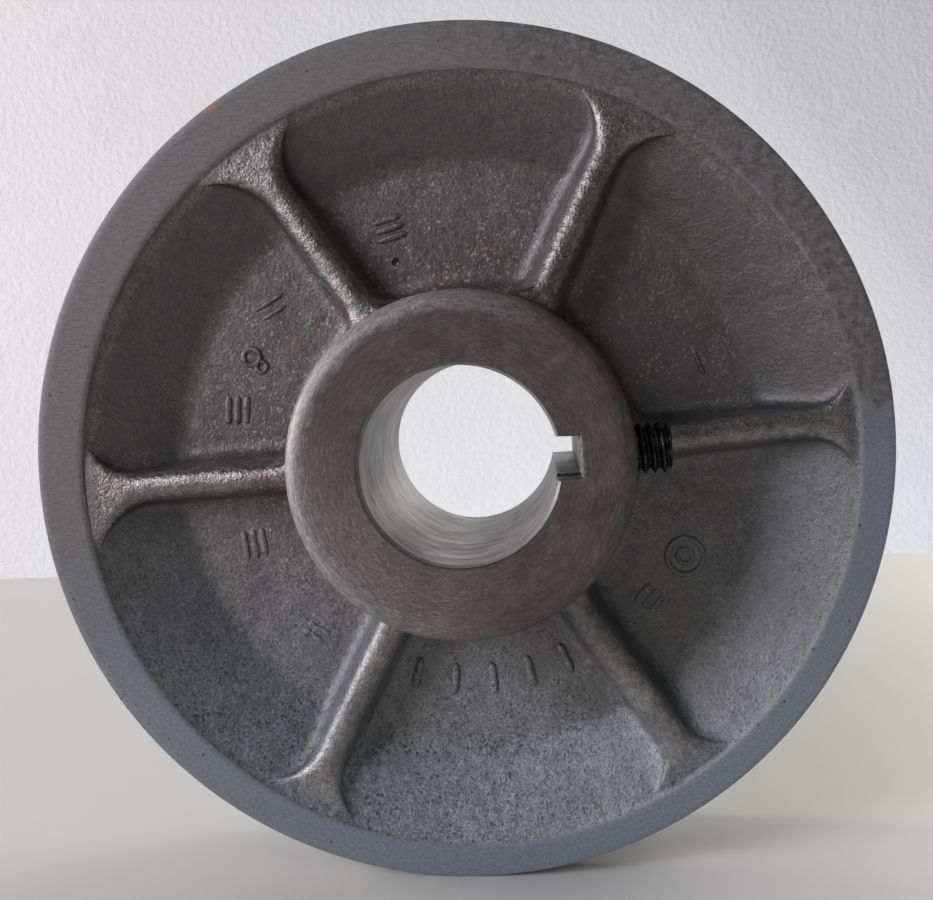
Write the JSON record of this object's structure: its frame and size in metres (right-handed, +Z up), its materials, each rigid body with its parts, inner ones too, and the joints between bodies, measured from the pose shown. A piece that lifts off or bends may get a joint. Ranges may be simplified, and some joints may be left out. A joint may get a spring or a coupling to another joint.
{
  "type": "adjustable v belt pulley",
  "caption": "Cast iron single-groove V-belt pulley with a keyed hub, radial ribs and a threaded moving half that sets the pitch diameter.",
  "frame": {"origin": "on the shaft axis, in the plane of the fixed half's rim face", "axes": "Y along the shaft axis with the hub of the fixed half towards -Y and the moving half towards +Y, Z up, X right as seen from the hub side"},
  "size_m": [0.1358, 0.062, 0.1358],
  "materials": {
    "casting": "rough sand casting with machined rim, hub face and groove",
    "key_steel": "drawn key stock, bright",
    "screw_steel": "black oxide alloy steel"
  },
  "bodies": {
    "fixed_half": {"fixed_flange": "casting"},
    "moving_half": {"moving_flange": "casting"},
    "external_key": {"external_key": "key_steel"},
    "hub_set_screw": {"hub_set_screw": "screw_steel"},
    "key_set_screw": {"key_set_screw": "screw_steel"},
    "lock_set_screw": {"lock_set_screw": "screw_steel"}
  },
  "joints": [
    {"name": "pitch_adjust", "type": "slide", "parent": "fixed_half", "child": "moving_half", "axis": [0, 1, 0], "range_m": [-0.0031, 0.00635]},
    {"name": "key_draw", "type": "slide", "parent": "moving_half", "child": "external_key", "axis": [0, 1, 0], "range_m": [0, 0.03]},
    {"name": "hub_screw_turn", "type": "slide", "parent": "fixed_half", "child": "hub_set_screw", "axis": [0.9978, 0, 0.0663], "range_m": [-0.0006, 0.012]},
    {"name": "key_screw_turn", "type": "slide", "parent": "moving_half", "child": "key_set_screw", "axis": [-0.949, 0.309, -0.063], "range_m": [0, 0.008]},
    {"name": "lock_screw_turn", "type": "slide", "parent": "moving_half", "child": "lock_set_screw", "axis": [0.949, 0.309, 0.063], "range_m": [0, 0.012]}
  ]
}
